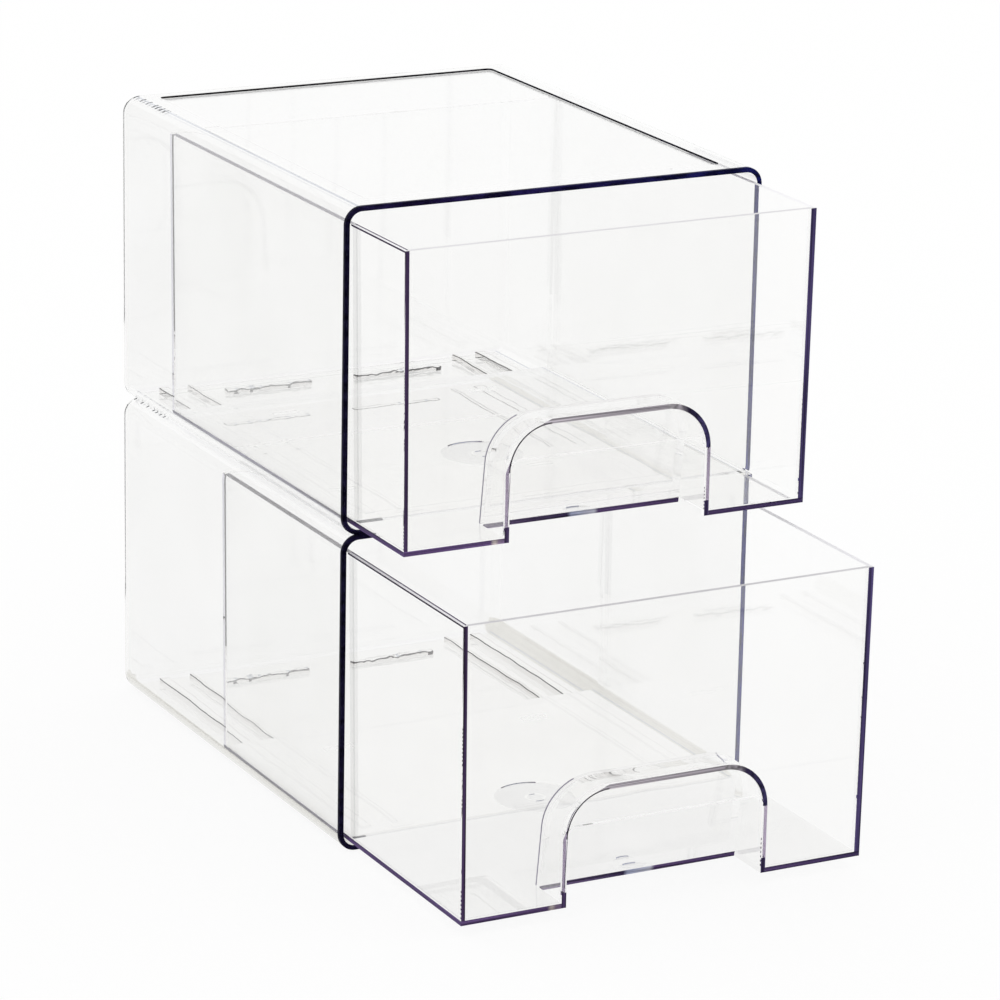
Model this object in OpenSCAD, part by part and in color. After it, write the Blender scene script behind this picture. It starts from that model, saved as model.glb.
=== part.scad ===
// Stackable drawer box: two clear units, each an open-fronted sleeve with one pull-out drawer.
// Millimetres, +Z up. The drawers pull out towards -Y.
// The origin is on the table, under the middle of the stack with its drawers part open.

/* [Sleeve] */
// Outside width of a sleeve
sleeve_w = 229; // [180:1:300]
// Outside height of a sleeve
sleeve_h = 163.5; // [110:0.5:220]
// Outside depth of a sleeve, rim to back
sleeve_d = 273; // [200:1:360]
// Wall thickness of a sleeve
sleeve_wall = 2.5; // [1.8:0.1:3.5]
// Outside radius of the four long edges
long_edge_r = 9; // [5:0.5:11]
// Outside radius of the edges round the back wall
back_edge_r = 6; // [4.5:0.5:12]

/* [Shallow recess in the sleeve's roof] */
// Depth of the recess
roof_step = 1; // [0.4:0.1:1.2]
// Distance from the recess to each side of the sleeve
roof_side_border = 17; // [12:0.5:30]
// Distance from the recess to the rim
roof_front_border = 12; // [8:0.5:30]
// Distance from the recess to the sleeve's back
roof_rear_border = 12.5; // [11:0.5:30]
// Radius of the recess's corners
roof_corner_r = 3; // [1:0.5:8]

/* [Runners on the sleeve floor] */
// Height of the runners above the sleeve floor
runner_h = 3.5; // [3:0.1:6]
// Width of the outer runner
outer_runner_w = 5.5; // [3:0.5:8]
// Distance from the inside of the side wall to the outer runner
outer_runner_inset = 16; // [12:0.5:18]
// Width of the inner runner
inner_runner_w = 2.5; // [1.5:0.5:5]
// Space between the outer and the inner runner
runner_spacing = 12.25; // [6:0.25:14]
// Distance of the runners' front ends behind the rim
runner_front = 9; // [8:0.5:20]
// Distance of the runners' rear ends in front of the back wall
runner_rear = 10; // [8:0.5:30]

/* [Ridges and bars on the sleeve floor] */
// Height of the two closing ridges above the sleeve floor
ridge_h = 2.2; // [1.2:0.1:2.5]
// Thickness of each closing ridge, front to back
ridge_t = 4; // [2:0.5:6]
// Distance of each closing ridge's inner end from the middle
ridge_inset = 12; // [8:1:16]
// Height of the three front bars above the sleeve floor
bar_h = 1.5; // [0.8:0.1:2.2]
// Thickness of the front bars, front to back
bar_t = 3; // [2:0.5:3]
// Distance of the front bars behind the rim
bar_front = 4; // [2.5:0.5:5]
// Length of each side bar
side_bar_length = 12; // [6:1:14]
// How far each side bar's middle lies inside the middle of the inner runner
side_bar_shift = 2; // [0:0.5:4]
// Length of the middle bar
middle_bar_length = 28; // [12:1:34]

/* [Drawer] */
// Wall thickness of the drawer's front, sides and rear
drawer_wall = 2.5; // [1.8:0.1:3.2]
// Floor thickness of the drawer
drawer_floor = 2.5; // [1.8:0.1:3.2]
// Clearance between the drawer's top edge and each side of the sleeve
side_gap = 0.7; // [0.4:0.1:1.5]
// Clearance between the drawer's top edge and the rounded corner of the sleeve's roof
top_gap = 2.2; // [0.5:0.1:6]
// Clearance between the closed drawer and the rounded corner of the sleeve's back
rear_gap = 0.6; // [0.4:0.1:3]
// How far each side wall leans in from top to bottom
side_draft = 1.3; // [0.5:0.1:2.5]

/* [Finger pocket in the drawer front] */
// Clear width of the pocket
pocket_w = 107.5; // [80:0.5:120]
// Clear height of the pocket above the drawer's underside
pocket_h = 56.8; // [48:0.2:68]
// Radius of the pocket's two upper corners, on the inside
pocket_r = 22; // [12:0.5:24]
// Wall thickness of the pocket
pocket_wall = 2.5; // [1.8:0.1:3.2]
// Depth to the outside of the pocket's rear wall at the top
pocket_top_depth = 20; // [16:0.5:26]
// Depth to the outside of the pocket's rear wall at the bottom
pocket_bottom_depth = 28; // [27:0.5:34]
// Height of the finger opening below the front's pull lip
opening_h = 40.5; // [34:0.5:46]
// Radius of the finger opening's upper corners
opening_r = 4; // [2:0.5:8]

/* [Marks and lugs on the drawer floor] */
// Diameter of the round recess in the middle of the floor
recess_d = 42; // [24:1:60]
// Diameter of the raised ring in the middle of the recess
recess_ring_d = 11; // [6:0.5:16]
// Diameter of the round moulding mark behind the pocket
mark_d = 15; // [8:0.5:20]
// Depth of the recess and the mark
mark_depth = 0.5; // [0.3:0.1:0.8]
// Width of each stop lug under the floor
lug_w = 14; // [8:1:16]
// Thickness of each stop lug, front to back
lug_t = 4; // [2:0.5:6]
// How far each stop lug hangs below the floor
lug_h = 2.5; // [1.5:0.1:2.5]
// Space between each stop lug and the inner runner beside it
lug_side_gap = 12.75; // [9:0.25:16]
// Distance of the stop lugs' rear faces from the drawer's rear
lug_setback = 24.5; // [12:0.5:40]

/* [Drawers as they stand] */
// How far the upper drawer stands open
upper_open = 58; // [0:1:180]
// How far the lower drawer stands open
lower_open = 124; // [0:1:180]

/* [Hidden] */
$fn = 96;

// Overshoot of a cutting solid past the face that it cuts
cut = 1;
// Play left between a stop lug and its ridge when the drawer is closed
lug_play = 0.6;
// How much sooner a ridge ends than the lug in front of it
ridge_short = 1;
// Height of the ring inside the floor recess, below the floor's surface
ring_drop = 0.2;
// Wall thickness of the ring inside the floor recess
ring_wall = 1.2;
// Gap from the pocket to the moulding mark
mark_gap = 1;

inner_w = sleeve_w - 2 * sleeve_wall;
rim_y = (lower_open - sleeve_d) / 2;
stack_z = sleeve_h;

// How far a square corner, one side_gap off a wall, stays clear of the next wall's rounding of radius r
function corner_setback(r) = r - sqrt(pow(r, 2) - pow(max(0, r - side_gap), 2));

drawer_z = sleeve_wall + runner_h;
drawer_h = sleeve_h - 2 * sleeve_wall - runner_h - top_gap - corner_setback(long_edge_r - sleeve_wall);
drawer_d = sleeve_d - sleeve_wall - rear_gap - corner_setback(back_edge_r - sleeve_wall);
drawer_w = inner_w - 2 * side_gap;
drawer_bottom_w = drawer_w - 2 * side_draft;

outer_runner_x = inner_w / 2 - outer_runner_inset - outer_runner_w / 2;
inner_runner_x = outer_runner_x - outer_runner_w / 2 - runner_spacing - inner_runner_w / 2;
runner_length = sleeve_d - sleeve_wall - runner_front - runner_rear;

recess_w = sleeve_w - 2 * roof_side_border;
recess_length = sleeve_d - roof_front_border - roof_rear_border;

// The closing ridges stand just behind the lugs of a closed drawer
lug_x = inner_runner_x - inner_runner_w / 2 - lug_side_gap - lug_w / 2;
lug_rear_y = drawer_d - lug_setback;
ridge_y = lug_rear_y + lug_play;
ridge_length = lug_x + lug_w / 2 - ridge_short - ridge_inset;

// A rectangle w by h with rounded corners, centred on X with its lower edge on Y = 0
module round_plate(w, h, r) {
    for (x = [r - w / 2, w / 2 - r])
        for (y = [r, h - r])
            translate([x, y])
                circle(r);
    translate([-w / 2, r])
        square([w, h - 2 * r]);
    translate([r - w / 2, 0])
        square([w - 2 * r, h]);
}

// The same with only its two upper corners rounded
module arch_plate(w, h, r) {
    for (x = [r - w / 2, w / 2 - r])
        translate([x, h - r])
            circle(r);
    translate([-w / 2, 0])
        square([w, h - r]);
    translate([r - w / 2, 0])
        square([w - 2 * r, h]);
}

// Stands a flat shape up in the XZ plane and gives it a depth towards +Y
module standing(depth) {
    translate([0, depth, 0])
        rotate([90, 0, 0])
            linear_extrude(depth)
                children();
}

// A box whose front is cut square and whose other edges are rounded
module open_box_shape(w, h, d, edge_r, rear_r) {
    intersection() {
        standing(d)
            round_plate(w, h, edge_r);
        linear_extrude(h)
            arch_plate(w, d, rear_r);
        translate([w / 2, 0, h / 2])
            rotate([0, -90, 0])
                linear_extrude(w)
                    arch_plate(h, d, rear_r);
    }
}

// A rib on the sleeve floor, centred on x, from y towards the back
module floor_rib(x, y, w, length, height) {
    translate([x - w / 2, y, sleeve_wall - cut])
        cube([w, length, height + cut]);
}

module sleeve_ribs() {
    for (side = [-1, 1]) {
        floor_rib(side * outer_runner_x, runner_front, outer_runner_w, runner_length, runner_h);
        floor_rib(side * inner_runner_x, runner_front, inner_runner_w, runner_length, runner_h);
        floor_rib(side * (ridge_inset + ridge_length / 2), ridge_y, ridge_length, ridge_t, ridge_h);
        floor_rib(side * (inner_runner_x - side_bar_shift), bar_front, side_bar_length, bar_t, bar_h);
    }
    floor_rib(0, bar_front, middle_bar_length, bar_t, bar_h);
}

// One sleeve, its rim at Y = 0 and its underside at Z = 0
module sleeve() {
    difference() {
        open_box_shape(sleeve_w, sleeve_h, sleeve_d, long_edge_r, back_edge_r);
        translate([0, -cut, sleeve_wall])
            open_box_shape(inner_w, sleeve_h - 2 * sleeve_wall, sleeve_d - sleeve_wall + cut,
                long_edge_r - sleeve_wall, back_edge_r - sleeve_wall);
        translate([0, roof_front_border, sleeve_h - roof_step])
            linear_extrude(roof_step + cut)
                round_plate(recess_w, recess_length, roof_corner_r);
    }
    sleeve_ribs();
}

// The drawer's cross-section: a tray outline that is narrower at the bottom
module drawer_section(bottom_w, top_w, h) {
    polygon([[-bottom_w / 2, 0], [bottom_w / 2, 0], [top_w / 2, h], [-top_w / 2, h]]);
}

module drawer_shell() {
    lean = side_draft * 2 / drawer_h;
    difference() {
        standing(drawer_d)
            drawer_section(drawer_bottom_w, drawer_w, drawer_h);
        translate([0, drawer_wall, drawer_floor])
            standing(drawer_d - 2 * drawer_wall)
                drawer_section(drawer_bottom_w + lean * drawer_floor - 2 * drawer_wall,
                    drawer_w + lean * cut - 2 * drawer_wall, drawer_h - drawer_floor + cut);
    }
}

// An arch with a leaning rear face, set back by inset from the pocket's outside
module pocket_shape(inset, front_y, bottom_z) {
    clear_w = pocket_w + 2 * (pocket_wall - inset);
    clear_h = pocket_h + pocket_wall - inset;
    slope = (pocket_bottom_depth - pocket_top_depth) / (pocket_h + pocket_wall);
    rear_bottom = pocket_bottom_depth - inset - slope * bottom_z;
    rear_top = pocket_bottom_depth - inset - slope * clear_h;
    intersection() {
        translate([0, front_y, bottom_z])
            standing(pocket_bottom_depth + cut)
                arch_plate(clear_w, clear_h - bottom_z, pocket_r + pocket_wall - inset);
        translate([clear_w / 2 + cut, 0, 0])
            rotate([0, -90, 0])
                linear_extrude(clear_w + 2 * cut)
                    polygon([[bottom_z, front_y], [bottom_z, rear_bottom], [clear_h, rear_top],
                        [clear_h, front_y]]);
    }
}

module finger_opening() {
    translate([0, -cut, -cut])
        standing(drawer_wall + 2 * cut)
            arch_plate(pocket_w, opening_h + cut, opening_r);
}

// The round recess with its ring, and the round mark behind the pocket
module floor_marks() {
    translate([0, drawer_d / 2, drawer_floor - mark_depth])
        difference() {
            cylinder(h = mark_depth + cut, d = recess_d);
            translate([0, 0, -cut])
                difference() {
                    cylinder(h = mark_depth - ring_drop + cut, d = recess_ring_d);
                    translate([0, 0, -cut])
                        cylinder(h = mark_depth + 3 * cut, d = recess_ring_d - 2 * ring_wall);
                }
        }
    translate([0, pocket_bottom_depth + mark_gap + mark_d / 2, drawer_floor - mark_depth])
        cylinder(h = mark_depth + cut, d = mark_d);
}

module stop_lugs() {
    for (side = [-1, 1])
        translate([side * lug_x - lug_w / 2, lug_rear_y - lug_t, -lug_h])
            cube([lug_w, lug_t, lug_h + cut]);
}

// One drawer, its front face at Y = 0 and its underside at Z = 0
module drawer() {
    difference() {
        union() {
            drawer_shell();
            pocket_shape(0, drawer_wall / 2, 0);
            stop_lugs();
        }
        pocket_shape(pocket_wall, drawer_wall, -cut);
        finger_opening();
        floor_marks();
    }
}

module lower_sleeve() {
    color([0.93, 0.94, 0.95, 0.35])
        translate([0, rim_y, 0])
            sleeve();
}

module lower_drawer() {
    color([0.80, 0.80, 0.90, 0.45])
        translate([0, rim_y - lower_open, drawer_z])
            drawer();
}

module upper_sleeve() {
    color([0.93, 0.94, 0.95, 0.35])
        translate([0, rim_y, stack_z])
            sleeve();
}

module upper_drawer() {
    color([0.80, 0.80, 0.90, 0.45])
        translate([0, rim_y - upper_open, stack_z + drawer_z])
            drawer();
}

lower_sleeve();
lower_drawer();
upper_sleeve();
upper_drawer();
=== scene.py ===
import math

import bpy
from mathutils import Matrix, Vector


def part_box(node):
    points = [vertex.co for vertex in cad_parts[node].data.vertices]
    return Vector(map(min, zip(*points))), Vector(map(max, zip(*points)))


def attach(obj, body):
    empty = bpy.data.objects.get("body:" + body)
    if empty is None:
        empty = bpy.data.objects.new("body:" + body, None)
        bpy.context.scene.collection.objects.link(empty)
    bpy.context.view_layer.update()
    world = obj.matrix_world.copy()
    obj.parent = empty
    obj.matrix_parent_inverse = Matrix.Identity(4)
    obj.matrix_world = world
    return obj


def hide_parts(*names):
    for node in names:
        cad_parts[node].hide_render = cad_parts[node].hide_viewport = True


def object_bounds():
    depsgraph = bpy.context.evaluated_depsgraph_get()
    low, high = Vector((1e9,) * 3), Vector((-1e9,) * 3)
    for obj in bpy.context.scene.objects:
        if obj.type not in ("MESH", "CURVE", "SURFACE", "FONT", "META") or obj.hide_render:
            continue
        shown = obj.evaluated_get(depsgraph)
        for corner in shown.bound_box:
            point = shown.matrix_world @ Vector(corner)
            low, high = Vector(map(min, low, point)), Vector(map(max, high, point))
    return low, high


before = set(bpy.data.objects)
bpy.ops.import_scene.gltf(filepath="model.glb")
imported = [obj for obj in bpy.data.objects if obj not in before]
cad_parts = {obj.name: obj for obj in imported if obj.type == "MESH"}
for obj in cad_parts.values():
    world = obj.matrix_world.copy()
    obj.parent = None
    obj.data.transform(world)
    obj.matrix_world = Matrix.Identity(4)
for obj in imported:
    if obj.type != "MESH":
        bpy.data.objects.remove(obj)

cad_low, cad_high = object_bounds()
scene = bpy.context.scene


# --- Sleeves ---------------------------------------------------------------------------------
# Each unit's outer sleeve is one injection moulding in clear rigid plastic: floor, roof, two sides
# and a closed back, rounded along its outside edges and cut square round its open mouth.
# The upper sleeve stands loose on the lower one, so a film of air stays between the two.
sleeve_wall = 0.0025
long_edge_radius = 0.009
back_edge_radius = 0.006
long_edge_segments = 12
back_edge_segments = 8
air_film = 0.0001
dark_rim_depth = 0.0018
roof_step = 0.001
roof_side_border = 0.017
roof_front_border = 0.012
roof_rear_border = 0.0125
roof_corner_radius = 0.003
roof_corner_segments = 5

sleeve_low, sleeve_high = (Vector(v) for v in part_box("lower_sleeve"))
stack_shift = Vector(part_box("upper_sleeve")[0]) - sleeve_low
sleeve_depth = sleeve_high.y - sleeve_low.y
sleeve_high.z -= air_film
rim_y = sleeve_low.y


def new_block(name, low, high):
    """A cube that fills the box from low to high, with its place in its mesh."""
    bpy.ops.object.select_all(action="DESELECT")
    low, high = Vector(low), Vector(high)
    bpy.ops.mesh.primitive_cube_add(size=1, location=(low + high) / 2, scale=high - low)
    bpy.ops.object.transform_apply(location=True, rotation=True, scale=True)
    block = bpy.context.object
    block.name = block.data.name = name
    return block


def pick(piece):
    """Selects one piece alone and makes it the active one."""
    bpy.ops.object.select_all(action="DESELECT")
    piece.select_set(True)
    bpy.context.view_layer.objects.active = piece


def edit(piece, kind, wanted):
    """Goes into edit mode with only the faces or edges selected for which wanted is true."""
    pick(piece)
    bpy.ops.object.mode_set(mode="EDIT")
    bpy.ops.mesh.select_mode(type=kind)
    bpy.ops.mesh.select_all(action="DESELECT")
    bpy.ops.object.mode_set(mode="OBJECT")
    mesh = piece.data
    if kind == "FACE":
        for face in mesh.polygons:
            face.select = wanted(face.center, face.normal)
    else:
        for edge in mesh.edges:
            ends = [mesh.vertices[i].co for i in edge.vertices]
            edge.select = wanted((ends[0] + ends[1]) / 2, ends[1] - ends[0])
    bpy.ops.object.mode_set(mode="EDIT")


def leave_edit():
    bpy.ops.object.mode_set(mode="OBJECT")


def apply_modifier(piece, kind, **settings):
    """Adds one modifier with these settings and applies it."""
    pick(piece)
    modifier = piece.modifiers.new(kind.lower(), kind)
    for key, value in settings.items():
        setattr(modifier, key, value)
    bpy.ops.object.modifier_apply(modifier=modifier.name)


def combine(piece, operation, tools):
    """Joins solids to a piece, or cuts them out of it, and takes the tools away."""
    for tool in tools:
        apply_modifier(piece, "BOOLEAN", operation=operation, solver="EXACT", object=tool)
        bpy.data.objects.remove(tool)


# Places closer than same_place are the same. A face within a hair of a plane counts as inside it.
same_place = 1e-5
hair = 1e-4
smooth_below = math.radians(29)
x_axis, y_axis, z_axis = 0, 1, 2


def near(a, b, reach=same_place):
    return abs(a - b) < reach


def along(direction, axis):
    """True if an edge runs along one axis."""
    return abs(direction[axis]) > 0.999 * direction.length


def split_faces(piece, cuts):
    """Splits a piece's faces along planes, each given by one of its points and its direction."""
    edit(piece, "FACE", lambda middle, normal: True)
    for place, way in cuts:
        bpy.ops.mesh.select_all(action="SELECT")
        bpy.ops.mesh.bisect(plane_co=place, plane_no=way)
    leave_edit()


def finish_surface(piece):
    """Smooth round the rounded edges and dead flat on the flat walls, so that walls don't act as lenses."""
    pick(piece)
    bpy.ops.object.shade_smooth_by_angle(angle=smooth_below)
    apply_modifier(piece, "WEIGHTED_NORMAL", mode="FACE_AREA", weight=100, keep_sharp=True)


def sleeve_shell(name, low, high):
    """A box that is rounded along its edges, open in front and thickened inwards to an even wall."""
    shell = new_block(name, low, high)
    edit(shell, "EDGE", lambda middle, way: along(way, y_axis))
    bpy.ops.mesh.bevel(offset=long_edge_radius, segments=long_edge_segments, affect="EDGES")
    leave_edit()
    edit(shell, "EDGE", lambda middle, way: near(middle.y, high.y))
    bpy.ops.mesh.bevel(offset=back_edge_radius, segments=back_edge_segments, affect="EDGES")
    leave_edit()
    edit(shell, "FACE", lambda middle, normal: normal.y < -0.99)
    bpy.ops.mesh.delete(type="FACE")
    leave_edit()
    apply_modifier(shell, "SOLIDIFY", thickness=sleeve_wall, offset=-1, use_even_offset=True)
    return shell


def roof_recess(low, high):
    """The block that is cut out of the roof to leave its shallow recess."""
    block = new_block("roof_recess",
                      (low.x + roof_side_border, low.y + roof_front_border, high.z - roof_step),
                      (high.x - roof_side_border, high.y - roof_rear_border, high.z + roof_step))
    edit(block, "EDGE", lambda middle, way: along(way, z_axis))
    bpy.ops.mesh.bevel(offset=roof_corner_radius, segments=roof_corner_segments, affect="EDGES")
    leave_edit()
    return block


# A row of shallow notches crosses the rounded upper left edge near the back. Towards the front they stand
# closer together, and their painted shade fades from near black to a pale grey.
notch_places = (0.0065, 0.0152, 0.0229, 0.0308, 0.0349, 0.0398, 0.0446)
notch_width = 0.0011
notch_length = 0.004
notch_depth = 0.0005
notch_tilt = math.radians(13)
edge_axis_x = sleeve_high.x - long_edge_radius
edge_axis_z = sleeve_high.z - long_edge_radius


def edge_notches(high):
    """One thin block for each notch, laid flat against the rounded edge and sunk into it."""
    blocks = []
    for place in notch_places:
        turn = Matrix.Rotation(-notch_tilt, 4, "Y")
        block = new_block("notch", (-notch_length / 2, high.y - place - notch_width / 2, -notch_depth),
                          (notch_length / 2, high.y - place + notch_width / 2, notch_depth))
        block.data.transform(Matrix.Translation((-edge_axis_x, 0, edge_axis_z)) @ turn
                             @ Matrix.Translation((0, 0, long_edge_radius)))
        blocks.append(block)
    return blocks


# The floor's runners carry the drawer. The two ridges near the back stop the lugs under a closed
# drawer, and the three low bars behind the mouth stiffen it. All are moulded in one with the floor.
# The ridges are slightly rippled and the runners slightly wavy.
runner_height = 0.0034
outer_runner_width = 0.0055
inner_runner_width = 0.0025
outer_runner_x = 0.09325
inner_runner_x = 0.077
runner_front = 0.009
runner_rear = 0.010
ridge_height = 0.0022
ridge_thickness = 0.004
ridge_near_x = 0.012
ridge_far_x = 0.062
ridge_y = 0.2446
bar_height = 0.0015
bar_thickness = 0.003
bar_front = 0.004
side_bar_x = 0.075
side_bar_length = 0.012
middle_bar_length = 0.028
rib_root = 0.001
rib_edge = 0.0004
ridge_edge = 0.0006
ripple_cuts = 30
sway_cuts = 70
ripple = bpy.data.textures.new("ripple", "CLOUDS")
ripple.noise_scale = 0.004
ripple_height = 0.0022
sway = bpy.data.textures.new("sway", "CLOUDS")
sway.noise_scale = 0.015
sway_width = 0.0022


def floor_rib(low, x0, x1, y0, y1, height, rippled=False, swaying=False):
    """A rib between x0 and x1 and between y0 and y1, measured from the sleeve's middle and its mouth."""
    x0, x1 = sorted((x0, x1))
    floor = low.z + sleeve_wall
    rib = new_block("rib", (x0, low.y + y0, floor - rib_root), (x1, low.y + y1, floor + height))
    edit(rib, "EDGE", lambda middle, way: near(middle.z, floor + height) or along(way, z_axis))
    bpy.ops.mesh.bevel(offset=ridge_edge if rippled else rib_edge, segments=1, affect="EDGES")
    leave_edit()
    if rippled:
        edit(rib, "EDGE", lambda middle, way: along(way, x_axis))
        bpy.ops.mesh.subdivide(number_cuts=ripple_cuts)
        leave_edit()
        for way in ("Z", "Y"):
            apply_modifier(rib, "DISPLACE", texture=ripple, texture_coords="LOCAL", direction=way,
                           mid_level=0.5, strength=ripple_height)
    if swaying:
        edit(rib, "EDGE", lambda middle, way: along(way, y_axis))
        bpy.ops.mesh.subdivide(number_cuts=sway_cuts)
        leave_edit()
        apply_modifier(rib, "DISPLACE", texture=sway, texture_coords="LOCAL", direction="X",
                       mid_level=0.5, strength=sway_width)
    return rib


def sleeve_ribs(low, depth):
    ribs = []
    runner_end = depth - sleeve_wall - runner_rear
    for side in (-1, 1):
        for x, width in ((outer_runner_x, outer_runner_width), (inner_runner_x, inner_runner_width)):
            ribs.append(floor_rib(low, side * x - width / 2, side * x + width / 2,
                                  runner_front, runner_end, runner_height, swaying=True))
        ribs.append(floor_rib(low, side * ridge_near_x, side * ridge_far_x,
                              ridge_y, ridge_y + ridge_thickness, ridge_height, rippled=True))
        ribs.append(floor_rib(low, side * side_bar_x - side_bar_length / 2,
                              side * side_bar_x + side_bar_length / 2,
                              bar_front, bar_front + bar_thickness, bar_height))
    ribs.append(floor_rib(low, -middle_bar_length / 2, middle_bar_length / 2,
                          bar_front, bar_front + bar_thickness, bar_height))
    return ribs


unbent = 1.0


def clear_plastic(name, thin, thick, wave=0, wave_size=9, bending=1.5):
    """Clear rigid plastic: a faint, uneven tint and flow waves in its surface. Some uses give it a much
    darker tint as painted shade; they say so where they are made.

    A face whose bending is unbent lets light out straight, so that no wall is mirrored in it.
    """
    material = bpy.data.materials.new(name)
    material.use_nodes = True
    nodes, links = material.node_tree.nodes, material.node_tree.links
    plastic = nodes["Principled BSDF"]
    plastic.inputs["Transmission Weight"].default_value = 1
    plastic.inputs["Roughness"].default_value = 0.0
    plastic.inputs["IOR"].default_value = bending
    place = nodes.new("ShaderNodeTexCoord")
    cloud = nodes.new("ShaderNodeTexNoise")
    cloud.inputs["Scale"].default_value = 14
    cloud.inputs["Detail"].default_value = 2
    links.new(place.outputs["Object"], cloud.inputs["Vector"])
    tint = nodes.new("ShaderNodeValToRGB")
    tint.color_ramp.elements[0].position = 0.3
    tint.color_ramp.elements[0].color = (*thick, 1)
    tint.color_ramp.elements[1].position = 0.7
    tint.color_ramp.elements[1].color = (*thin, 1)
    links.new(cloud.outputs["Fac"], tint.inputs["Fac"])
    links.new(tint.outputs["Color"], plastic.inputs["Base Color"])
    waves = nodes.new("ShaderNodeTexNoise")
    waves.inputs["Scale"].default_value = wave_size
    waves.inputs["Detail"].default_value = 1
    links.new(place.outputs["Object"], waves.inputs["Vector"])
    bump = nodes.new("ShaderNodeBump")
    bump.inputs["Strength"].default_value = wave
    bump.inputs["Distance"].default_value = 0.001
    links.new(waves.outputs["Fac"], bump.inputs["Height"])
    links.new(bump.outputs["Normal"], plastic.inputs["Normal"])
    return material


def painted_edge_shading(name, stops, streak, axis, low, high, streak_shade=0.25):
    """Painted light and shade where a wall of the same plastic is seen end on, drawn as an opaque colour:
    near black where light is lost along the whole wall.

    The colour runs through its stops from low to high along one axis, broken up by streaks.
    """
    material = bpy.data.materials.new(name)
    material.use_nodes = True
    nodes, links = material.node_tree.nodes, material.node_tree.links
    plastic = nodes["Principled BSDF"]
    plastic.inputs["Roughness"].default_value = 0.3
    plastic.inputs["Specular IOR Level"].default_value = 0.02
    place = nodes.new("ShaderNodeTexCoord")
    split = nodes.new("ShaderNodeSeparateXYZ")
    links.new(place.outputs["Object"], split.inputs["Vector"])
    span = nodes.new("ShaderNodeMapRange")
    span.inputs["From Min"].default_value = low
    span.inputs["From Max"].default_value = high
    links.new(split.outputs[axis], span.inputs["Value"])
    run = nodes.new("ShaderNodeValToRGB")
    while len(run.color_ramp.elements) < len(stops):
        run.color_ramp.elements.new(0.5)
    for element, (position, colour) in zip(run.color_ramp.elements, stops):
        element.position = position
        element.color = (*colour, 1)
    links.new(span.outputs["Result"], run.inputs["Fac"])
    stretch = nodes.new("ShaderNodeMapping")
    stretch.inputs["Scale"].default_value = streak
    links.new(place.outputs["Object"], stretch.inputs["Vector"])
    cloud = nodes.new("ShaderNodeTexNoise")
    cloud.inputs["Scale"].default_value = 1
    cloud.inputs["Detail"].default_value = 3
    links.new(stretch.outputs["Vector"], cloud.inputs["Vector"])
    shade = nodes.new("ShaderNodeValToRGB")
    shade.color_ramp.elements[0].position = 0.35
    shade.color_ramp.elements[0].color = (streak_shade, streak_shade, streak_shade, 1)
    shade.color_ramp.elements[1].position = 0.65
    shade.color_ramp.elements[1].color = (1, 1, 1, 1)
    links.new(cloud.outputs["Fac"], shade.inputs["Fac"])
    painted_tone = nodes.new("ShaderNodeMix")
    painted_tone.data_type = "RGBA"
    painted_tone.blend_type = "MULTIPLY"
    painted_tone.inputs["Factor"].default_value = 1
    links.new(run.outputs["Color"], painted_tone.inputs[6])
    links.new(shade.outputs["Color"], painted_tone.inputs[7])
    links.new(painted_tone.outputs[2], plastic.inputs["Base Color"])
    return material


above_stack = 0.33
fine_streak = (60, 60, 60)


def painted_lit_edge(name, dark, light):
    """Painted light: where an edge of the same plastic is lit from within by the white room, an opaque pale,
    cloudy grey.
    """
    return painted_edge_shading(name, ((0, dark), (1, light)), fine_streak, z_axis, 0, above_stack, streak_shade=0.95)


sleeve_clear = clear_plastic("sleeve roof and floor", (0.999, 0.999, 0.998), (0.993, 0.993, 0.991), wave=0.02)
sleeve_side = clear_plastic("sleeve sides and back", (0.965, 0.965, 0.962), (0.945, 0.945, 0.940), wave=0.02)
sleeve_base = clear_plastic("sleeve underside", (0.999, 0.999, 0.998), (0.993, 0.993, 0.991), bending=unbent)
# Painted shade of the table under the lower sleeve, on its underside and on the bottom of its rounded side
# edges.
table_shade_base = clear_plastic("sleeve underside, painted table shade", (0.918, 0.914, 0.896), (0.885, 0.880, 0.860),
                              bending=unbent)
table_shade_edge = clear_plastic("sleeve foot edge, painted table shade", (0.82, 0.812, 0.78), (0.73, 0.722, 0.685))
sleeve_rib = clear_plastic("sleeve ribs", (0.93, 0.93, 0.93), (0.86, 0.86, 0.86), bending=unbent)
# Painted shade on the ribs where no drawer lies over them: a darker tint on their sides and near-black lines
# on their narrow edges.
sleeve_rib_end = clear_plastic("sleeve rib ends", (0.88, 0.87, 0.86), (0.70, 0.68, 0.67), bending=unbent)
sleeve_rib_line = painted_edge_shading(
    "sleeve rib lines", ((0, (0.05, 0.04, 0.05)), (1, (0.10, 0.08, 0.085))),
    streak=(300, 300, 300), axis=x_axis, low=-0.1, high=0.1)
# Painted light and shade on the mouth's rim, seen end on: near-black navy round most of it, deep blue on the
# far right upright below the roof, and a pale grey tint along the foot.
sleeve_foot_rim = clear_plastic("sleeve foot rim", (0.90, 0.90, 0.905), (0.84, 0.84, 0.85), bending=unbent)
sleeve_rim = painted_edge_shading(
    "sleeve rim", ((0, (0.010, 0.008, 0.030)), (0.10, (0.018, 0.010, 0.070)), (0.6, (0.014, 0.010, 0.080)),
                   (1, (0.010, 0.012, 0.110))),
    streak=(90, 260, 400), axis=x_axis, low=sleeve_low.x, high=sleeve_high.x)
sleeve_far_rim = painted_edge_shading(
    "sleeve far rim", ((0, (0.01, 0.014, 0.31)), (1, (0.01, 0.01, 0.20))),
    streak=(900, 900, 60), axis=z_axis, low=0, high=above_stack)
# Painted shade: a blue-grey tint on the first facet of the rounded upper left edge draws a dark line along
# it.
painted_edge_line = clear_plastic("sleeve rounded edge, painted line", (0.57, 0.60, 0.68), (0.42, 0.45, 0.53))
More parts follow.
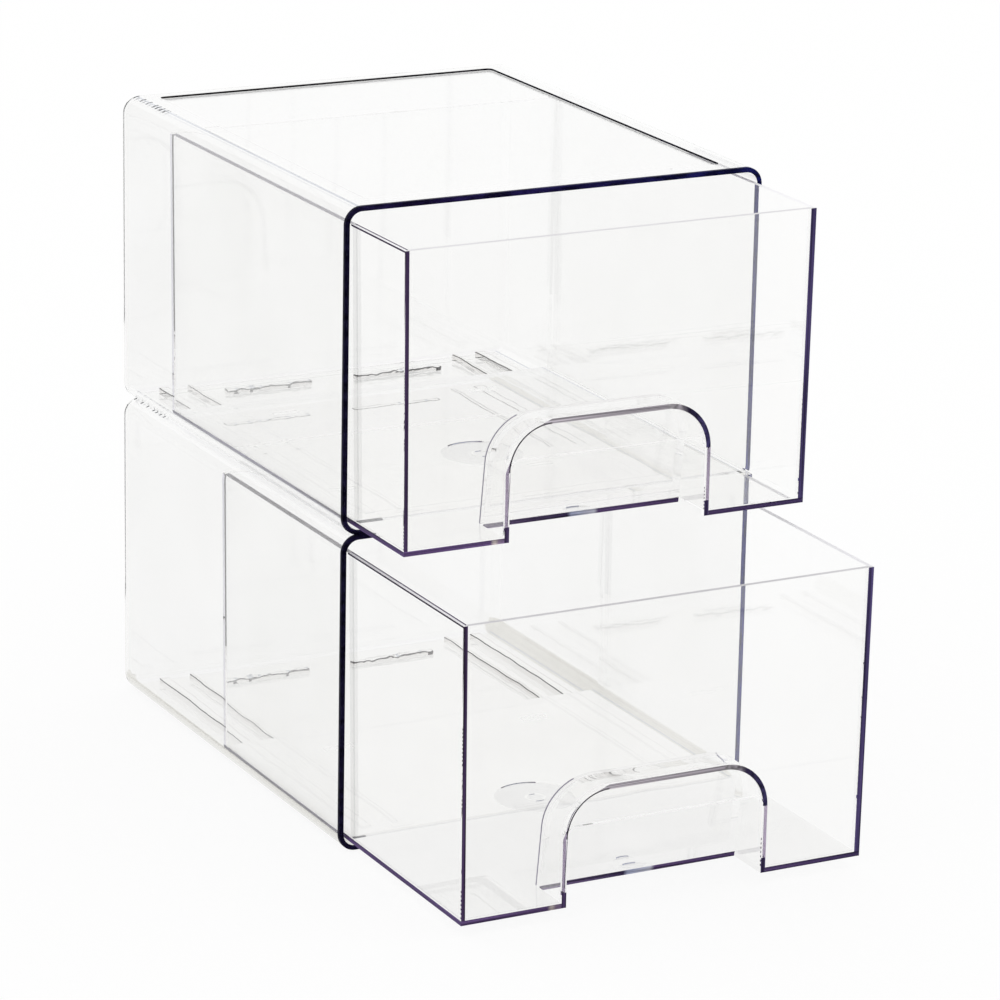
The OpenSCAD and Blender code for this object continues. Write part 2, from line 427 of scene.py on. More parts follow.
# Painted shade: the rear and right steps of the roof recess drawn as near-black lines.
sleeve_step = painted_edge_shading(
    "sleeve roof step", ((0, (0.05, 0.042, 0.045)), (0.97, (0.04, 0.035, 0.045)), (1, (0.010, 0.010, 0.026))),
    fine_streak, axis=x_axis, low=-0.1, high=0.0972)
# Painted shade in the notches: near black at the back, paler towards the front.
sleeve_notch = painted_edge_shading(
    "sleeve notches", ((0, (0.78, 0.78, 0.79)), (0.5, (0.52, 0.52, 0.53)), (0.85, (0.26, 0.25, 0.26)),
                       (1, (0.03, 0.025, 0.03))),
    fine_streak, axis=y_axis, low=0.150, high=0.190)

ground_sleeve = sleeve_shell("sleeve_moulding", sleeve_low, sleeve_high)
combine(ground_sleeve, "UNION", sleeve_ribs(sleeve_low, sleeve_depth))
combine(ground_sleeve, "DIFFERENCE", [roof_recess(sleeve_low, sleeve_high), *edge_notches(sleeve_high)])

# The rim, its ends at the corners, and the floor behind each open drawer carry painted light and shade of
# their own, so the faces are split where those begin.
foot_rim_reach = 0.098
covered_rim_reach = 0.091
bare_from = {"lower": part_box("lower_drawer")[1][1], "upper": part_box("upper_drawer")[1][1]}
cuts = [((0, cut_y, 0), (0, 1, 0)) for cut_y in (rim_y + dark_rim_depth, *bare_from.values())]
cuts += [((cut_x, 0, 0), (1, 0, 0)) for cut_x in (-foot_rim_reach, foot_rim_reach, -covered_rim_reach)]
split_faces(ground_sleeve, cuts)


def fill_slots(piece, finishes):
    """Gives a piece one material slot for each finish."""
    piece.data.materials.clear()
    for finish in finishes:
        piece.data.materials.append(finish)


def finish_of(piece, face):
    return piece.data.materials[face.material_index]


def set_finish(piece, face, finish):
    face.material_index = piece.data.materials.find(finish.name)


fill_slots(ground_sleeve, (
    sleeve_clear, sleeve_side, sleeve_rib, sleeve_rib_end, sleeve_foot_rim, sleeve_rim, sleeve_far_rim,
    sleeve_step, sleeve_rib_line, sleeve_base, painted_edge_line, table_shade_base, table_shade_edge, sleeve_notch))
rib_floor = sleeve_low.z + sleeve_wall
recess_floor = sleeve_high.z - roof_step
mid_height = (sleeve_low.z + sleeve_high.z) / 2
before_back = sleeve_high.y - back_edge_radius - sleeve_wall
before_notches = sleeve_high.y - notch_places[-1] - notch_width
level = 0.95
steep = 0.7
upright = 0.01
turn_begins, turn_ends = 0.12, 0.27
for face in ground_sleeve.data.polygons:
    middle, normal = face.center, face.normal
    on_rib = rib_floor + same_place < middle.z < rib_floor + runner_height + same_place
    inside = abs(middle.x) < outer_runner_x + outer_runner_width and middle.y < before_back
    at_foot = middle.z < rib_floor + same_place and middle.x > -foot_rim_reach
    outward = normal.dot(Vector((middle.x, 0, middle.z - mid_height))) > 0
    far = middle.x > sleeve_high.x - sleeve_wall and abs(normal.z) < upright
    finish = sleeve_side if abs(normal.z) < steep else sleeve_clear
    if near(middle.z, sleeve_low.z):
        finish = sleeve_base
    # The facet of the left rounded edge next to the roof gets the painted dark line.
    if turn_begins < -normal.x < turn_ends and normal.z > level:
        finish = painted_edge_line
    if on_rib and inside and normal.z < level:
        finish = sleeve_rib
    # The rim's end faces, and the outer faces of a strip just behind them, get the painted rim colours.
    if middle.y < rim_y + dark_rim_depth and (outward or normal.y < -0.9):
        finish = sleeve_foot_rim if at_foot else sleeve_rim
        if far and rib_floor < middle.z < sleeve_high.z - long_edge_radius + hair:
            finish = sleeve_far_rim
    # The roof recess's rear and right steps get their painted dark lines.
    if recess_floor < middle.z < sleeve_high.z - same_place and abs(normal.z) < 0.1:
        rearward = middle.y > sleeve_high.y - roof_rear_border - roof_corner_radius
        rightward = middle.x > sleeve_high.x - roof_side_border - roof_corner_radius
        if (rearward or rightward) and abs(middle.x) < sleeve_high.x - roof_side_border + same_place:
            finish = sleeve_step
    # The notches' cut faces get their painted shade.
    if -middle.x > edge_axis_x - notch_length and middle.y > before_notches and normal.y < -0.5:
        depth = long_edge_radius - math.hypot(-middle.x - edge_axis_x, middle.z - edge_axis_z)
        if 0.4 * hair < depth < 1.5 * notch_depth and middle.y < sleeve_high.y - back_edge_radius + hair:
            finish = sleeve_notch
    set_finish(ground_sleeve, face, finish)
finish_surface(ground_sleeve)


def clear_covered_roof(sleeve):
    """The lower sleeve's roof lies under the upper unit, which lights its rim and its recess clear: its
    painted dark rim becomes the painted pale grey, and its painted dark step plain clear plastic.
    """
    for face in sleeve.data.polygons:
        finish = finish_of(sleeve, face)
        roof_from = sleeve_wall if face.center.x < 0 else long_edge_radius
        at_roof = face.center.z > sleeve_high.z - roof_from - same_place
        if finish in (sleeve_rim, sleeve_far_rim) and at_roof and face.center.x > -covered_rim_reach:
            set_finish(sleeve, face, sleeve_foot_rim)
        if finish == sleeve_step:
            set_finish(sleeve, face, sleeve_clear)


def shade_standing_foot(sleeve):
    """The lower sleeve stands on the table, which lies in its own shade there: that shade is painted into the
    sleeve's underside and the bottom of its rounded side edges.
    """
    for face in sleeve.data.polygons:
        finish = finish_of(sleeve, face)
        if finish == sleeve_base:
            set_finish(sleeve, face, table_shade_base)
        at_edge = abs(face.center.x) > sleeve_high.x - long_edge_radius
        at_bottom = face.center.z < sleeve_low.z + long_edge_radius
        if at_edge and at_bottom and finish in (sleeve_clear, sleeve_side):
            set_finish(sleeve, face, table_shade_edge)


def paint_bare_rib_lines(sleeve, from_y):
    """Painted shade: where no drawer floor lies over them, the ribs show sharply; their narrow edges get
    near-black lines and their sides a darker tint.
    """
    for face in sleeve.data.polygons:
        if finish_of(sleeve, face) == sleeve_rib and face.center.y > from_y:
            set_finish(sleeve, face, sleeve_rib_line if abs(face.normal.z) > 0.2 else sleeve_rib_end)


ground_sleeve.name = "lower_sleeve_moulding"
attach(ground_sleeve, "lower_sleeve")
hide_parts("lower_sleeve")


def copy_up(piece, name, shift):
    """A copy with its own mesh, moved inside its mesh."""
    twin = piece.copy()
    twin.data = piece.data.copy()
    twin.name = twin.data.name = name
    bpy.context.collection.objects.link(twin)
    twin.data.transform(Matrix.Translation(shift))
    return twin


stacked_sleeve = copy_up(ground_sleeve, "upper_sleeve_moulding", stack_shift)
clear_covered_roof(ground_sleeve)
shade_standing_foot(ground_sleeve)
paint_bare_rib_lines(ground_sleeve, bare_from["lower"])
paint_bare_rib_lines(stacked_sleeve, bare_from["upper"])
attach(stacked_sleeve, "upper_sleeve")
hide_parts("upper_sleeve")


# --- Drawers ---------------------------------------------------------------------------------
# Each drawer is one clear moulding: a tray with straight edges, sides that lean in towards the
# bottom, and an arched finger pocket moulded into its front. It rides on the sleeve's runners.
drawer_wall = 0.0025
drawer_floor = 0.0025
side_lean = 0.0013
lug_drop = 0.0025
pocket_width = 0.1075
pocket_height = 0.0568
pocket_radius = 0.022
pocket_wall = 0.0025
pocket_top_depth = 0.020
pocket_bottom_depth = 0.028
pocket_lean = (pocket_bottom_depth - pocket_top_depth) / (pocket_height + pocket_wall)
arch_segments = 16
opening_height = 0.0405
opening_radius = 0.004
overshoot = 0.001

lower_drawer_low, lower_drawer_high = (Vector(v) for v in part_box("lower_drawer"))
upper_drawer_low = Vector(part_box("upper_drawer")[0])
drawer_front = lower_drawer_low.y
drawer_rear = lower_drawer_high.y
drawer_bottom = lower_drawer_low.z + lug_drop
drawer_top = lower_drawer_high.z
drawer_half = lower_drawer_high.x
side_slope = side_lean / (drawer_top - drawer_bottom)


def narrow(piece, wanted, by):
    """Pulls the chosen faces in along X by this much on each side, about the drawer's middle plane."""
    edit(piece, "FACE", wanted)
    widest = max(abs(v.co.x) for f in piece.data.polygons if f.select for v in
                 (piece.data.vertices[i] for i in f.vertices))
    middle = next(f.center for f in piece.data.polygons if f.select)
    bpy.ops.transform.resize(value=((widest - by) / widest, 1, 1), center_override=(0, middle.y, middle.z))
    leave_edit()


def drawer_tray(name):
    """The tray: a block narrowed at its bottom, inset from above and pushed down to the floor."""
    tray = new_block(name, (-drawer_half, drawer_front, drawer_bottom),
                     (drawer_half, drawer_rear, drawer_top))
    narrow(tray, lambda middle, normal: normal.z < -0.99, side_lean)
    edit(tray, "FACE", lambda middle, normal: normal.z > 0.99)
    bpy.ops.mesh.inset(thickness=drawer_wall)
    bpy.ops.mesh.extrude_region_move(
        TRANSFORM_OT_translate={"value": (0, 0, drawer_bottom + drawer_floor - drawer_top)})
    leave_edit()
    narrow(tray, lambda middle, normal: near(middle.z, drawer_bottom + drawer_floor), side_lean)
    return tray


def arch_block(name, width, height, radius, y0, y1, z0):
    """A block whose two upper edges along Y are rounded into an arch."""
    block = new_block(name, (-width / 2, y0, z0), (width / 2, y1, z0 + height))
    edit(block, "EDGE", lambda middle, way: along(way, y_axis) and near(middle.z, z0 + height))
    bpy.ops.mesh.bevel(offset=radius, segments=arch_segments, affect="EDGES")
    leave_edit()
    return block


def pocket_block(name, inset, front, bottom):
    """The pocket's outside, or its hollow when inset by its wall, with its rear face cut to its lean."""
    width = pocket_width + 2 * (pocket_wall - inset)
    height = pocket_height + pocket_wall - inset - bottom
    radius = pocket_radius + pocket_wall - inset
    block = arch_block(name, width, height, radius, drawer_front + front,
                       drawer_front + pocket_bottom_depth + overshoot, drawer_bottom + bottom)
    edit(block, "FACE", lambda middle, normal: True)
    bpy.ops.mesh.bisect(plane_co=(0, drawer_front + pocket_bottom_depth - inset, drawer_bottom),
                        plane_no=(0, 1, pocket_lean), use_fill=True, clear_outer=True)
    leave_edit()
    return block


ground_drawer = drawer_tray("drawer_moulding")
combine(ground_drawer, "UNION", [pocket_block("pocket", 0, drawer_wall / 2, 0)])
combine(ground_drawer, "DIFFERENCE", [pocket_block("pocket_hollow", pocket_wall, drawer_wall, -overshoot)])
finger_opening = arch_block("finger_opening", pocket_width, opening_height + overshoot, opening_radius,
                            drawer_front - overshoot, drawer_front + drawer_wall + overshoot,
                            drawer_bottom - overshoot)
combine(ground_drawer, "DIFFERENCE", [finger_opening])

# The floor has a round recess with a small ring in its middle, a round moulding mark behind the
# pocket, and two lugs under it that meet the sleeve's ridges when the drawer is shut.
recess_radius = 0.021
ring_radius = 0.0055
ring_wall = 0.0012
ring_height = 0.0003
ring_sides = 32
mark_radius = 0.0075
mark_gap = 0.001
mark_depth = 0.0005
lug_x = 0.056
lug_width = 0.014
lug_thickness = 0.004
lug_rear = 0.0245
drawer_middle = (drawer_front + drawer_rear) / 2
floor_top = drawer_bottom + drawer_floor


def disc(name, radius, middle_y, z0, z1, sides=64):
    bpy.ops.object.select_all(action="DESELECT")
    bpy.ops.mesh.primitive_cylinder_add(vertices=sides, radius=radius, depth=z1 - z0,
                                        location=(0, middle_y, (z0 + z1) / 2))
    bpy.ops.object.transform_apply(location=True, rotation=True, scale=True)
    bpy.context.object.name = name
    return bpy.context.object


recess = disc("recess", recess_radius, drawer_middle, floor_top - mark_depth, floor_top + overshoot)
mark = disc("mark", mark_radius, drawer_front + pocket_bottom_depth + mark_gap + mark_radius,
            floor_top - mark_depth, floor_top + overshoot)
combine(ground_drawer, "DIFFERENCE", [recess, mark])
ring = disc("ring", ring_radius, drawer_middle, floor_top - 2 * mark_depth,
            floor_top - mark_depth + ring_height, ring_sides)
ring_hole = disc("ring_hole", ring_radius - ring_wall, drawer_middle, floor_top - 3 * mark_depth,
                 floor_top + overshoot, ring_sides)
combine(ring, "DIFFERENCE", [ring_hole])
lugs = [new_block("lug", (side * lug_x - lug_width / 2, drawer_rear - lug_rear - lug_thickness,
                          drawer_bottom - lug_drop),
                  (side * lug_x + lug_width / 2, drawer_rear - lug_rear, drawer_bottom + overshoot))
        for side in (-1, 1)]
combine(ground_drawer, "UNION", [ring] + lugs)

# The pocket's wall meets the front from behind. Seen through the front it is seen end on, as an arched band,
# so the band's outline is cut a hair's breadth into the front face, in two rings, which carry the band's
# painted light and shade.
band_cut = 0.00002
band_split = 0.0007
block_height = 0.0078
arch_spring = drawer_bottom + pocket_height - pocket_radius
arch_straight = pocket_width / 2 - pocket_radius

# In the left shoulder the outer ring's painted shade tapers off along two cuts that just reach the inner
# ring.
taper = math.radians(22.5)
taper_margin = 0.00006
split_radius = pocket_radius + band_split - taper_margin
band_radius = pocket_radius + pocket_wall - taper_margin
shoulder = Vector((-arch_straight, 0, arch_spring))
top_taper = (shoulder + Vector((0, 0, band_radius)),
             shoulder + split_radius * Vector((-math.sin(taper), 0, math.cos(taper))))
leg_taper = (shoulder + Vector((-band_radius, 0, 0)),
             shoulder + split_radius * Vector((-math.cos(taper), 0, math.sin(taper))))


def square_to(line):
    """The direction square to a taper's line, in the plane of the drawer's front."""
    return (line[1] - line[0]).cross(Vector((0, 1, 0))).normalized()


def shoulder_side(place, line):
    """True if a place is on the same side of a taper's cut as the middle of the left shoulder."""
    way = square_to(line)
    return (Vector((place.x, 0, place.z)) - line[0]).dot(way) * (shoulder - line[0]).dot(way) > 0


def arch_band(name, inner, outer):
    """A thin arched plate between two distances from the pocket's hollow, parted where its curves begin."""
    band = arch_block(name, pocket_width + 2 * outer, pocket_height + outer, pocket_radius + outer,
                      drawer_front - overshoot, drawer_front + band_cut, drawer_bottom)
    hollow = arch_block("band_hollow", pocket_width + 2 * inner, pocket_height + inner + overshoot,
                        pocket_radius + inner, drawer_front - 2 * overshoot, drawer_front + overshoot,
                        drawer_bottom - overshoot)
    combine(band, "DIFFERENCE", [hollow])
    split_faces(band, [
        ((0, 0, drawer_bottom + block_height), (0, 0, 1)), ((0, 0, arch_spring), (0, 0, 1)),
        ((-arch_straight, 0, 0), (1, 0, 0)), ((arch_straight, 0, 0), (1, 0, 0)),
        (top_taper[0], square_to(top_taper)), (leg_taper[0], square_to(leg_taper)),
    ])
    return band


combine(ground_drawer, "DIFFERENCE", [arch_band("inner_band", 0, band_split)])
combine(ground_drawer, "DIFFERENCE", [arch_band("outer_band", band_split, pocket_wall)])

# Cuts through the outer faces, one wall's thickness in from each edge, part off the strips behind which a
# wall is seen end on; these strips carry painted edge shading.
left_strip = 0.0021
right_strip = 0.0030
top_line = 0.0009
pocket_line = 0.0011
split_faces(ground_drawer, [
    ((drawer_half - right_strip - side_lean, 0, drawer_bottom), (1, 0, -side_slope)),
    ((0, drawer_front + pocket_bottom_depth - pocket_wall, drawer_bottom), (0, 1, pocket_lean)),
    ((left_strip + side_lean - drawer_half, 0, drawer_bottom), (1, 0, side_slope)),
    ((0, 0, floor_top), (0, 0, 1)),
    ((0, drawer_rear - drawer_wall, 0), (0, 1, 0)),
    ((0, rim_y, 0), (0, 1, 0)),
    ((0, rim_y + drawer_front - upper_drawer_low.y, 0), (0, 1, 0)),
    ((0, 0, drawer_top - top_line), (0, 0, 1)),
    ((drawer_wall - top_line - drawer_half, 0, 0), (1, 0, 0)),
    ((0, drawer_front + pocket_bottom_depth - pocket_line, drawer_bottom), (0, 1, pocket_lean)),
])

drawer_clear = clear_plastic("drawer clear", (0.995, 0.995, 0.993), (0.987, 0.987, 0.984),
                             wave=0.02, wave_size=11)
# Painted light where edges are seen end on: a grey along the front's top edge and a near-white on other
# edges.
drawer_lip = painted_lit_edge("drawer top edge", (0.70, 0.69, 0.71), (0.76, 0.75, 0.77))
pocket_pale = painted_lit_edge("pocket pale edges", (0.93, 0.92, 0.95), (0.96, 0.955, 0.975))
pocket_clear = clear_plastic("pocket hollow", (0.99, 0.99, 0.99), (0.965, 0.962, 0.962),
                             wave=0.25, wave_size=38)
drawer_base = clear_plastic("drawer underside", (0.999, 0.999, 0.998), (0.992, 0.992, 0.990), bending=unbent)
# Painted shade: the table's shade under the lower drawer, in front of the sleeve, as a darker tint on its
# underside.
shaded_base = clear_plastic("drawer underside, painted table shade", (0.875, 0.872, 0.86), (0.825, 0.822, 0.81),
                            bending=unbent)
# Painted shade: a lilac-grey tint on the left side's strip along the rear edge, where the back wall is seen
# end on.
drawer_rear_edge = clear_plastic("drawer rear edge", (0.68, 0.67, 0.76), (0.50, 0.49, 0.60), bending=unbent)
# Painted light and shade on the left side of the pocket's rear edge: a lilac grey.
pocket_edge = painted_lit_edge("pocket rear edge", (0.34, 0.31, 0.43), (0.40, 0.37, 0.48))
pocket_foot = clear_plastic("pocket side feet", (0.99, 0.99, 0.99), (0.97, 0.965, 0.97), bending=unbent)
# Painted shade: a darker tint on the floors of the round recess and the moulding mark.
recess_shade = clear_plastic("floor recess", (0.86, 0.86, 0.865), (0.80, 0.80, 0.81), wave=0.05, wave_size=60)
# Painted light and shade on the front's edges, where the walls behind are seen end on: purple to near black
# on the uprights and feet, lighter on the left side's foot inside the sleeve, a painted glint where the
# pocket's left wall meets the front's foot, and a pale patch at the moulding gate in its middle, whose
# lighter look is painted light.
light_purple = (0.260, 0.180, 0.370)
purple = (0.150, 0.090, 0.240)
deep_purple = (0.060, 0.040, 0.120)
drawer_upright = painted_edge_shading(
    "drawer upright edges", ((0, (0.070, 0.042, 0.110)), (1, (0.080, 0.060, 0.170))),
    streak=(700, 1, 14), axis=x_axis, low=-0.11, high=0.11)
drawer_foot = painted_edge_shading(
    "drawer foot edges",
    ((0.0, purple), (0.215, purple), (0.225, (0.75, 0.66, 0.62)), (0.235, (0.30, 0.22, 0.34)),
     (0.255, light_purple), (0.462, deep_purple), (0.472, (0.55, 0.60, 0.85)),
     (0.528, (0.80, 0.80, 0.95)), (0.538, purple), (1.0, deep_purple)),
    streak=(12, 12, 900), axis=x_axis, low=-0.112, high=0.112)
drawer_side_foot = painted_edge_shading(
    "drawer side foot edges", ((0, (0.14, 0.09, 0.24)), (0.50, (0.14, 0.09, 0.24)),
                               (0.52, (0.28, 0.25, 0.40)), (1, (0.38, 0.36, 0.50))),
    streak=(8, 8, 900), axis=y_axis, low=rim_y - 0.124, high=rim_y + 0.124)
# Painted light and shade on the pocket's arched band: near black on the shoulders, with a painted highlight
# where the right one begins, grey over the top, and a dark lilac tint down the legs.
band_dark = painted_edge_shading(
    "pocket band dark", ((0, (0.020, 0.014, 0.030)), (0.78, (0.52, 0.49, 0.52)), (0.85, (0.36, 0.33, 0.37)),
                         (0.89, (0.035, 0.025, 0.070)), (1, (0.060, 0.050, 0.150))),
    streak=(300, 1, 300), axis=x_axis, low=-0.056, high=0.056)
band_grey = painted_edge_shading(
    "pocket band grey", ((0, (0.62, 0.57, 0.63)), (1, (0.46, 0.42, 0.47))),
    streak=(10, 1, 1800), axis=x_axis, low=-0.032, high=0.032)
band_lilac = clear_plastic("pocket band lilac", (0.17, 0.12, 0.22), (0.07, 0.045, 0.10),
                           wave=0.3, wave_size=120)
fill_slots(ground_drawer, (
    drawer_clear, drawer_upright, drawer_foot, drawer_side_foot, band_dark, band_grey, band_lilac,
    drawer_lip, pocket_clear, pocket_pale, recess_shade, drawer_base, drawer_rear_edge, pocket_edge,
    pocket_foot, shaded_base))
outer_side_x = drawer_half - side_lean - 2 * hair
above_foot = floor_top + 0.01
pocket_edge_x = pocket_width / 2 + pocket_wall
split_ring_middle = band_split / 2
square = 0.9
for face in ground_drawer.data.polygons:
    middle, normal = face.center, face.normal
    lean_here = side_slope * (drawer_top - middle.z)
    by_right = middle.x > drawer_half - lean_here - right_strip
    by_left = middle.x < lean_here + left_strip - drawer_half
    by_floor = middle.z < floor_top
    in_front = near(middle.y, drawer_front) and normal.y < -square
    in_band = near(middle.y, drawer_front + band_cut, same_place / 2) and normal.y < -square
    outer_side = abs(normal.x) > square and abs(middle.x) > outer_side_x
    pocket_rear = normal.y < -square and by_floor and abs(middle.x) < pocket_width / 2 and not in_front
    from_rear_plane = (middle.y - drawer_front - pocket_bottom_depth + pocket_wall
                       + pocket_lean * (middle.z - drawer_bottom))
    near_pocket = (abs(middle.x) < pocket_edge_x + hair
                   and drawer_front + drawer_wall < middle.y < drawer_front + pocket_bottom_depth + hair
                   and middle.z < drawer_bottom + pocket_height + pocket_wall + hair)
    in_hollow = near_pocket and middle.z > floor_top and from_rear_plane < same_place
    finish = drawer_clear
    if near(middle.z, drawer_bottom) and normal.z < -square:
        finish = drawer_base
    if (near_pocket and normal.y > square and middle.z > floor_top
            and middle.y > drawer_front + pocket_top_depth / 2):
        finish = pocket_foot
    # The left side's strip along the rear edge gets its painted lilac-grey line.
    if outer_side and middle.x < 0 and middle.y > drawer_rear - drawer_wall:
        finish = drawer_rear_edge
    # The pocket's rear edge, on its left, gets its painted lilac grey.
    if (near_pocket and from_rear_plane > pocket_wall - pocket_line and abs(normal.y) < 0.05
            and middle.z > floor_top and normal.x < -0.35 and middle.x < 0):
        finish = pocket_edge
    # The floors of the recess and the mark get their painted shade.
    if near(middle.z, floor_top - mark_depth) and normal.z > square:
        finish = recess_shade
    if in_hollow and (normal.y < -square or (normal.z < -0.5 and middle.z > above_foot)):
        finish = pocket_clear
    if near_pocket and by_floor and abs(normal.x) > square:
        finish = pocket_foot
    # The drawer's top faces get painted light: grey along the front, near-white elsewhere, none at the back
    # and on the right behind the rim; on the left in front of the rim, painted dark beside a near-white outer
    # line.
    if near(middle.z, drawer_top) and normal.z > square:
        finish = drawer_lip if middle.y < drawer_front + drawer_wall else pocket_pale
        if middle.y > drawer_rear - drawer_wall or (middle.x > 0 and middle.y > rim_y):
            finish = drawer_clear
        if rim_y > middle.y > drawer_front + drawer_wall and middle.x < 0:
            finish = pocket_pale if middle.x + drawer_half < drawer_wall - top_line else drawer_upright
    # The left side's top strip, the front's uprights and foot, and the left side's foot get their painted
    # edge colours.
    if outer_side and middle.x < 0 and middle.z > drawer_top - top_line and middle.y < rim_y:
        finish = drawer_upright
    if in_front and (by_left or by_right):
        finish = drawer_upright
    if (in_front and by_floor) or pocket_rear:
        finish = drawer_foot
    if outer_side and by_floor:
        finish = drawer_side_foot if middle.x < 0 else drawer_base
    # The band's faces get their painted light and shade: dark at the foot, lilac down the legs, grey over the
    # top, dark on the shoulders, a painted pale line in the right one, and clear parts tapering to grey and
    # lilac in the left one.
    if in_band:
        from_axis = math.hypot(middle.x - arch_straight, middle.z - arch_spring)
        farthest = max(math.hypot(abs(corner.x) - arch_straight, corner.z - arch_spring) for corner in
                       (ground_drawer.data.vertices[i].co for i in face.vertices))
        if middle.z < drawer_bottom + block_height:
            finish = drawer_upright
        elif middle.z < arch_spring:
            inner = near(abs(middle.x), pocket_width / 2 + split_ring_middle, 3 * hair)
            finish = drawer_clear if inner else band_lilac
        elif abs(middle.x) < arch_straight:
            finish = band_grey
        else:
            finish = band_dark
            if (middle.x > 0 and middle.z < arch_spring + pocket_radius / 2
                    and near(from_axis, pocket_radius + split_ring_middle, 4 * hair)):
                finish = pocket_pale
            if middle.x < 0 and farthest > pocket_radius + 2 * band_split:
                finish = drawer_clear
                if shoulder_side(middle, top_taper) and middle.x > top_taper[1].x:
                    finish = band_grey
                elif shoulder_side(middle, leg_taper) and middle.z < leg_taper[1].z:
                    finish = band_lilac
    set_finish(ground_drawer, face, finish)

# Only a frame round the pocket's back lets the light out straight. Its middle is plain clear plastic.
pocket_frame = 0.006
edit(ground_drawer, "FACE", lambda middle, normal: (
    normal.y > square and middle.z > floor_top and abs(middle.x) < pocket_edge_x
    and pocket_top_depth / 2 < middle.y - drawer_front < pocket_bottom_depth + hair))
bpy.ops.mesh.inset(thickness=pocket_frame)
ground_drawer.active_material_index = ground_drawer.data.materials.find(drawer_clear.name)
bpy.ops.object.material_slot_assign()
leave_edit()
finish_surface(ground_drawer)
ground_drawer.name = "lower_drawer_moulding"
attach(ground_drawer, "lower_drawer")
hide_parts("lower_drawer")

drawer_shift = upper_drawer_low - lower_drawer_low
stacked_drawer = copy_up(ground_drawer, "upper_drawer_moulding", drawer_shift)
# Inside the upper sleeve the upper drawer's painted dark upright faces turn to painted pale on top and to
# clear plastic on the sides.
for face in stacked_drawer.data.polygons:
    if finish_of(stacked_drawer, face) == drawer_upright and face.center.y > rim_y:
        set_finish(stacked_drawer, face, pocket_pale if face.normal.z > square else drawer_clear)
# The lower drawer's underside in front of the rim gets the table's painted shade.
for face in ground_drawer.data.polygons:
    over_table = face.center.y < rim_y and face.normal.z < -square
    if finish_of(ground_drawer, face) == drawer_base and over_table:
        set_finish(ground_drawer, face, shaded_base)
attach(stacked_drawer, "upper_drawer")
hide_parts("upper_drawer")


# --- Table and light -------------------------------------------------------------------------
# A white table that fades into a white room. The clear plastic sees the same white room through
# and in itself; overhead the room is darker, which draws the dark lines along the rounded edges.
table_gap = 0.0003
table_glow = 0.91


def seen_rays(nodes, links):
    """1 for what is seen straight, mirrored or through plastic, and 0 for the light that falls on things."""
    path = nodes.new("ShaderNodeLightPath")
    seen = nodes.new("ShaderNodeMath")
    seen.operation = "MAXIMUM"
    links.new(path.outputs["Is Camera Ray"], seen.inputs[0])
    links.new(path.outputs["Is Glossy Ray"], seen.inputs[1])
    seen_through = nodes.new("ShaderNodeMath")
    seen_through.operation = "MAXIMUM"
    links.new(seen.outputs[0], seen_through.inputs[0])
    links.new(path.outputs["Is Transmission Ray"], seen_through.inputs[1])
    return seen_through.outputs[0]


bpy.ops.object.select_all(action="DESELECT")
bpy.ops.mesh.primitive_plane_add(size=12, location=(0, 0, cad_low[2] - table_gap))
bpy.ops.object.transform_apply(location=True, rotation=True, scale=True)
table = bpy.context.object
table.name = "table"
table_white = bpy.data.materials.new("table white")
table_white.use_nodes = True
nodes, links = table_white.node_tree.nodes, table_white.node_tree.links
card = nodes["Principled BSDF"]
card.inputs["Base Color"].default_value = (0.98, 0.98, 0.975, 1)
card.inputs["Roughness"].default_value = 0.9
card.inputs["Specular IOR Level"].default_value = 0
glow = nodes.new("ShaderNodeEmission")
glow.inputs["Strength"].default_value = 1
share = nodes.new("ShaderNodeMath")
share.operation = "MULTIPLY"
share.inputs[1].default_value = table_glow
links.new(seen_rays(nodes, links), share.inputs[0])
blend = nodes.new("ShaderNodeMixShader")
links.new(share.outputs[0], blend.inputs["Fac"])
links.new(card.outputs["BSDF"], blend.inputs[1])
links.new(glow.outputs["Emission"], blend.inputs[2])
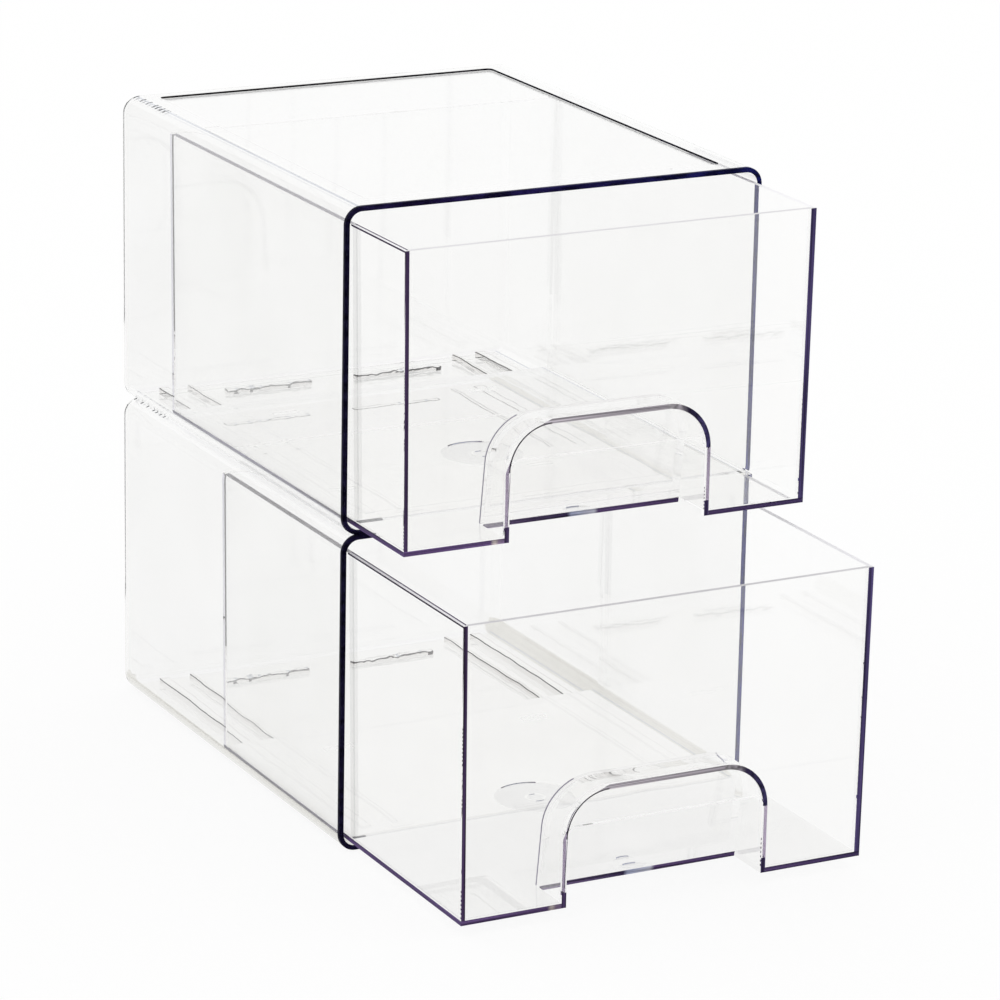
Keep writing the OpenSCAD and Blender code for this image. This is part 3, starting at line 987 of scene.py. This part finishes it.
links.new(blend.outputs["Shader"], nodes["Material Output"].inputs["Surface"])
table.data.materials.append(table_white)

room = bpy.data.worlds.new("white room")
scene.world = room
room.use_nodes = True
nodes, links = room.node_tree.nodes, room.node_tree.links
daylight = nodes["Background"]
daylight.inputs["Color"].default_value = (1, 1, 1, 1)
daylight.inputs["Strength"].default_value = 1.0
walls = nodes.new("ShaderNodeBackground")
direction = nodes.new("ShaderNodeTexCoord")
split = nodes.new("ShaderNodeSeparateXYZ")
links.new(direction.outputs["Generated"], split.inputs["Vector"])
height = nodes.new("ShaderNodeValToRGB")
height.color_ramp.elements[0].position = 0.60
height.color_ramp.elements[0].color = (1, 1, 1, 1)
height.color_ramp.elements[1].position = 0.90
height.color_ramp.elements[1].color = (0.30, 0.26, 0.38, 1)
links.new(split.outputs["Z"], height.inputs["Fac"])
links.new(height.outputs["Color"], walls.inputs["Color"])
blend = nodes.new("ShaderNodeMixShader")
links.new(seen_rays(nodes, links), blend.inputs["Fac"])
links.new(daylight.outputs["Background"], blend.inputs[1])
links.new(walls.outputs["Background"], blend.inputs[2])
links.new(blend.outputs["Shader"], nodes["World Output"].inputs["Surface"])


# --- Camera ----------------------------------------------------------------------------------
# In front of the stack's left corner and a little above it, with a long lens.
camera_place = (-1.060, -2.0333, 0.850)
camera_turn = math.radians(27.77)
camera_tip = math.radians(17.04)
camera_roll = math.radians(1.17)
lens = bpy.data.cameras.new("camera")
lens.lens = 169.6
lens.clip_end = 40
camera = bpy.data.objects.new("camera", lens)
scene.collection.objects.link(camera)
camera.matrix_world = (
    Matrix.Translation(camera_place)
    @ Matrix.Rotation(-camera_turn, 4, "Z")
    @ Matrix.Rotation(math.pi / 2 - camera_tip, 4, "X")
    @ Matrix.Rotation(camera_roll, 4, "Z")
)
scene.camera = camera
scene.view_settings.view_transform = "Standard"

# A ray crosses up to a dozen walls, each with two faces, and runs far inside a wall seen end on.
scene.cycles.max_bounces = 64
scene.cycles.transmission_bounces = 64
scene.cycles.glossy_bounces = 64
scene.cycles.transparent_max_bounces = 64
